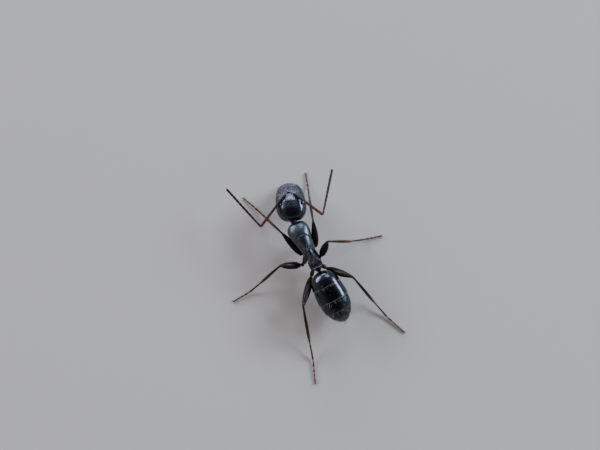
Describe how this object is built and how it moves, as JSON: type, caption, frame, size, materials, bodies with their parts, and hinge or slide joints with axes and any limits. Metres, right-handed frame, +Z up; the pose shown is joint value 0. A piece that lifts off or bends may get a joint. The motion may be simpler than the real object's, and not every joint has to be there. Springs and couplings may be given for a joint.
{
  "type": "carpenter ant model",
  "caption": "Life-size still model of a black carpenter ant worker standing with its legs spread and its elbowed feelers held out.",
  "frame": {"origin": "on the floor, in the middle of the footprint of the whole ant, feelers and feet included", "axes": "+Z up from the floor, +Y ahead along the trunk towards the head, +X to the ant's right"},
  "size_m": [0.0116, 0.0152, 0.0031],
  "materials": {
    "cuticle_black": "satin",
    "cuticle_glossy": "gloss",
    "cuticle_eye": "satin",
    "cuticle_dark_brown": "satin",
    "cuticle_red_brown": "satin",
    "setae_pale": "satin"
  },
  "bodies": {
    "root": {"head": "cuticle_black", "clypeus": "cuticle_black", "pronotum": "cuticle_black", "mesonotum": "cuticle_black", "propodeum": "cuticle_black", "petiole": "cuticle_black", "eye_left": "cuticle_eye", "eye_right": "cuticle_eye", "neck": "cuticle_dark_brown", "mandible_left": "cuticle_dark_brown", "mandible_right": "cuticle_dark_brown", "mouthparts": "cuticle_dark_brown", "gaster_ring_1": "cuticle_glossy", "gaster_ring_2": "cuticle_glossy", "gaster_ring_3": "cuticle_glossy", "gaster_ring_4": "cuticle_glossy", "gaster_ring_5": "cuticle_glossy", "antenna_left_scape": "cuticle_red_brown", "antenna_left_funiculus": "cuticle_red_brown", "antenna_right_scape": "cuticle_red_brown", "antenna_right_funiculus": "cuticle_red_brown", "leg_front_left_coxa": "cuticle_black", "leg_front_left_femur": "cuticle_dark_brown", "leg_front_left_tibia": "cuticle_dark_brown", "leg_front_left_tarsus": "cuticle_red_brown", "leg_front_right_coxa": "cuticle_black", "leg_front_right_femur": "cuticle_dark_brown", "leg_front_right_tibia": "cuticle_dark_brown", "leg_front_right_tarsus": "cuticle_red_brown", "leg_middle_left_coxa": "cuticle_black", "leg_middle_left_femur": "cuticle_dark_brown", "leg_middle_left_tibia": "cuticle_dark_brown", "leg_middle_left_tarsus": "cuticle_red_brown", "leg_middle_right_coxa": "cuticle_black", "leg_middle_right_femur": "cuticle_dark_brown", "leg_middle_right_tibia": "cuticle_dark_brown", "leg_middle_right_tarsus": "cuticle_red_brown", "leg_hind_left_coxa": "cuticle_black", "leg_hind_left_femur": "cuticle_dark_brown", "leg_hind_left_tibia": "cuticle_dark_brown", "leg_hind_left_tarsus": "cuticle_red_brown", "leg_hind_right_coxa": "cuticle_black", "leg_hind_right_femur": "cuticle_dark_brown", "leg_hind_right_tibia": "cuticle_dark_brown", "leg_hind_right_tarsus": "cuticle_red_brown"}
  },
  "joints": []
}
